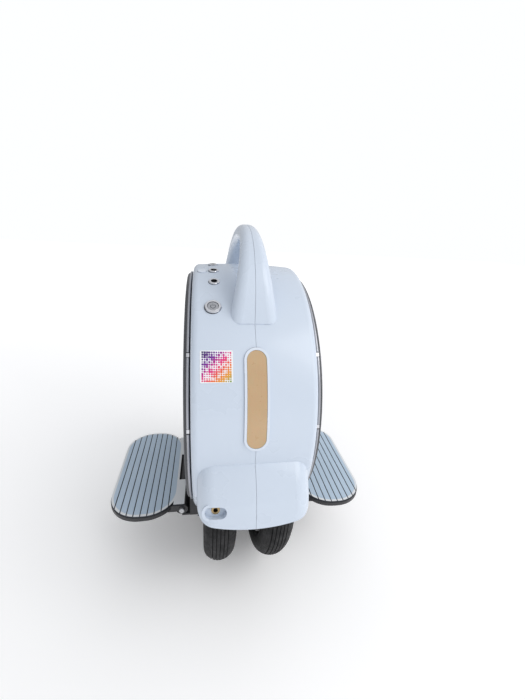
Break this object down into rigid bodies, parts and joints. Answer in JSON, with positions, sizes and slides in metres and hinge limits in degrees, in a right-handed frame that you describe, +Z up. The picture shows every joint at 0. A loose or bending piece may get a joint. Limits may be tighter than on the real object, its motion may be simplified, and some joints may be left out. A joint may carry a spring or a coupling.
{
  "type": "self-balancing electric unicycle",
  "caption": "Upright drum-shaped casing with an arched carrying handle, two narrow tyres side by side under it, and a fold-down pedal on each side.",
  "frame": {"origin": "on the floor, straight under the middle of the axle", "axes": "+Z up, +X across the machine to its right-hand pedal, -Y the end with the power button, which is called the front"},
  "size_m": [0.382, 0.41, 0.499],
  "materials": {
    "battery_wrap": "blue shrink wrap",
    "black_plastic": "moulded black plastic",
    "black_rubber": "matt black rubber",
    "bolt_black": "black oxide",
    "brass_fitting": "turned brass",
    "button_metal": "brushed cap",
    "cable_black": "black cable sheath",
    "cap_black": "moulded black cap",
    "chrome_trim": "polished chrome plating",
    "circuit_board": "green laminate with parts soldered on",
    "clip_steel": "bright spring clip",
    "copper_winding": "enamelled copper winding",
    "cover_grey": "satin dark grey moulded cover",
    "hanger_black": "black powder coat",
    "heat_sink_metal": "extruded aluminium",
    "label_print": null,
    "lens_amber": "tinted amber lens, diffusing",
    "lens_border_white": "glossy white plastic border",
    "liner_plastic": "black moulded liner",
    "magnet_metal": "nickel plated magnets",
    "mat_grey": "pale grey-blue grip mat with fine dots",
    "motor_steel": "electrical steel",
    "pedal_black": "black powder coat on a cast plate",
    "pin_steel": "ground steel",
    "plate_metal": "black coated plate",
    "plug_white": "white plastic plug",
    "rim_metal": "cast aluminium",
    "ring_satin": "satin anodised aluminium",
    "shell_white": "glossy bluish white moulded plastic",
    "steel": "machined steel",
    "tube_rubber": "butyl rubber",
    "tyre_black": "ribbed tyre rubber"
  },
  "bodies": {
    "chassis": {"axle": "steel", "axle_caps": "cap_black", "axle_nuts": "steel", "battery_pack": "battery_wrap", "brass_insert": "brass_fitting", "button_bezel": "chrome_trim", "button_switch": "black_plastic", "charge_socket": "chrome_trim", "controller_board": "circuit_board", "cover_gasket_left": "black_rubber", "cover_gasket_right": "black_rubber", "data_socket": "chrome_trim", "front_lens": "lens_amber", "front_lens_bezel": "lens_border_white", "gyro_board": "circuit_board", "hanger_bolts": "bolt_black", "heat_sink": "heat_sink_metal", "hinge_pin_left": "pin_steel", "hinge_pin_right": "pin_steel", "label_plate": "label_print", "lamp_socket": "chrome_trim", "led_boards": "circuit_board", "motor_cable": "cable_black", "motor_stator": "motor_steel", "panel_nuts": "steel", "pedal_hanger_left": "hanger_black", "pedal_hanger_right": "hanger_black", "rear_lens": "lens_amber", "rear_lens_bezel": "lens_border_white", "ring_clips": "clip_steel", "screw_plug": "plug_white", "shell_left": "shell_white", "shell_right": "shell_white", "side_cover_left": "cover_grey", "side_cover_right": "cover_grey", "side_plate_left": "plate_metal", "side_plate_right": "plate_metal", "side_screws": "steel", "socket_inserts": "black_plastic", "stator_coils": "copper_winding", "trim_ring_left": "ring_satin", "trim_ring_right": "ring_satin", "wheel_liner": "liner_plastic"},
    "wheel": {"tyre_right": "tyre_black", "tyre_left": "tyre_black", "inner_tubes": "tube_rubber", "rim_right": "rim_metal", "rim_left": "rim_metal", "valves": "brass_fitting", "motor_rotor": "motor_steel", "motor_cover_right": "rim_metal", "motor_cover_left": "rim_metal", "motor_screws": "steel", "motor_bearings": "steel", "rotor_magnets": "magnet_metal"},
    "pedal_right": {"pedal_plate_right": "pedal_black", "pedal_mat_right": "mat_grey"},
    "pedal_left": {"pedal_plate_left": "pedal_black", "pedal_mat_left": "mat_grey"},
    "power_button": {"button_cap": "button_metal"}
  },
  "joints": [
    {"name": "wheel_spin", "type": "hinge", "parent": "chassis", "child": "wheel", "pos_m": [0, 0, 0.178], "axis": [1, 0, 0], "continuous": true},
    {"name": "pedal_right_fold", "type": "hinge", "parent": "chassis", "child": "pedal_right", "pos_m": [0.088, 0, 0.1045], "axis": [0, -1, 0], "range_deg": [0, 90]},
    {"name": "pedal_left_fold", "type": "hinge", "parent": "chassis", "child": "pedal_left", "pos_m": [-0.088, 0, 0.1045], "axis": [0, 1, 0], "range_deg": [0, 90]},
    {"name": "power_button_press", "type": "slide", "parent": "chassis", "child": "power_button", "axis": [0, 0.5892, -0.808], "range_m": [0, 0.0015], "stiffness_N_per_m": 800}
  ]
}
